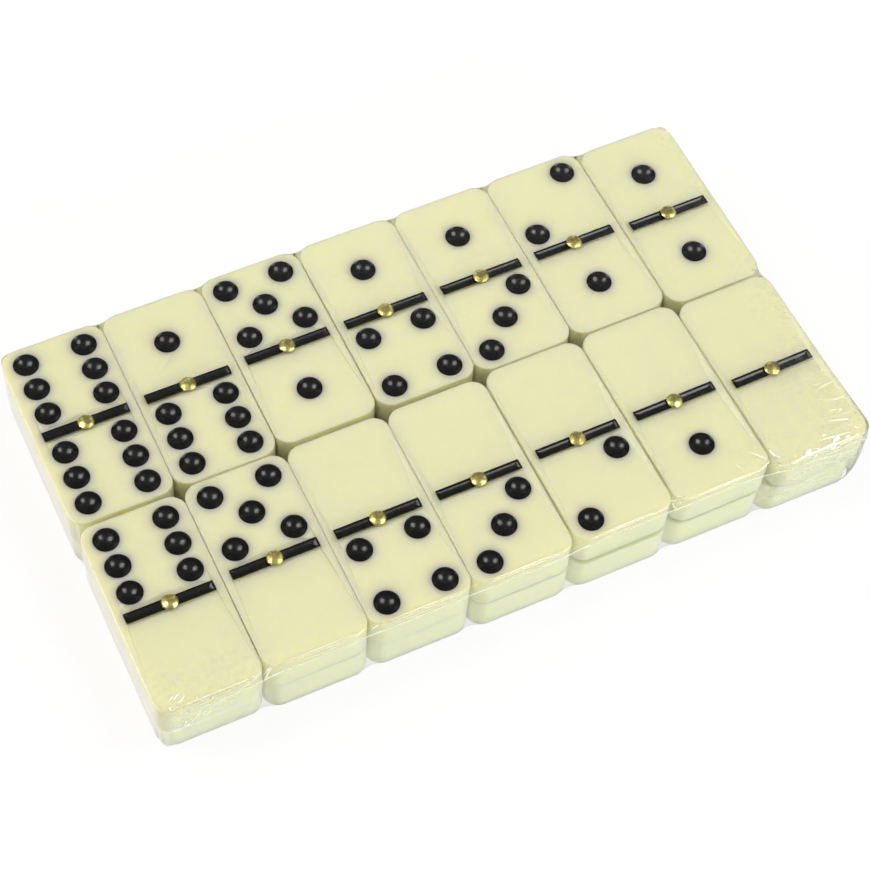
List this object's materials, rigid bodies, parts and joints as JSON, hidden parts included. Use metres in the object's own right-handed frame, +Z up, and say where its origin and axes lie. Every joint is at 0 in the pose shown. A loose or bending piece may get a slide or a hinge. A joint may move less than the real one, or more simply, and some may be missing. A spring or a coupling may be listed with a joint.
{
  "type": "shrink-wrapped domino set",
  "caption": "Flat pack of ivory domino tiles in two layers, with sunk black pips, centre bars and brass spinner pins, held in a clear shrink film.",
  "frame": {"origin": "middle of the pack's underside, on the surface it lies on", "axes": "+X along the long side (seven tiles), +Y towards the far row, +Z up, with the tile faces up"},
  "size_m": [0.1788, 0.1024, 0.0215],
  "materials": {
    "ivory": "moulded ivory resin, semi-gloss, slightly translucent",
    "black_paint": "gloss black paint",
    "brass": "polished brass",
    "clear_film": "clear glossy shrink film"
  },
  "bodies": {
    "root": {"tile_6_0": "ivory", "tile_5_0": "ivory", "tile_4_0": "ivory", "tile_3_0": "ivory", "tile_2_0": "ivory", "tile_1_0": "ivory", "tile_0_0": "ivory", "tile_6_6": "ivory", "tile_6_1": "ivory", "tile_5_1": "ivory", "tile_4_1": "ivory", "tile_3_1": "ivory", "tile_2_1": "ivory", "tile_1_1": "ivory", "tile_6_2": "ivory", "tile_5_4": "ivory", "tile_5_3": "ivory", "tile_5_2": "ivory", "tile_4_3": "ivory", "tile_4_2": "ivory", "tile_3_2": "ivory", "tile_5_5": "ivory", "tile_4_4": "ivory", "tile_3_3": "ivory", "tile_2_2": "ivory", "tile_6_5": "ivory", "tile_6_4": "ivory", "tile_6_3": "ivory", "spinner_6_0": "brass", "spinner_5_0": "brass", "spinner_4_0": "brass", "spinner_3_0": "brass", "spinner_2_0": "brass", "spinner_1_0": "brass", "spinner_0_0": "brass", "spinner_6_6": "brass", "spinner_6_1": "brass", "spinner_5_1": "brass", "spinner_4_1": "brass", "spinner_3_1": "brass", "spinner_2_1": "brass", "spinner_1_1": "brass", "spinner_6_2": "brass", "spinner_5_4": "brass", "spinner_5_3": "brass", "spinner_5_2": "brass", "spinner_4_3": "brass", "spinner_4_2": "brass", "spinner_3_2": "brass", "spinner_5_5": "brass", "spinner_4_4": "brass", "spinner_3_3": "brass", "spinner_2_2": "brass", "spinner_6_5": "brass", "spinner_6_4": "brass", "spinner_6_3": "brass", "paint_upper": "black_paint", "paint_lower": "black_paint", "shrink_film": "clear_film"}
  },
  "joints": []
}
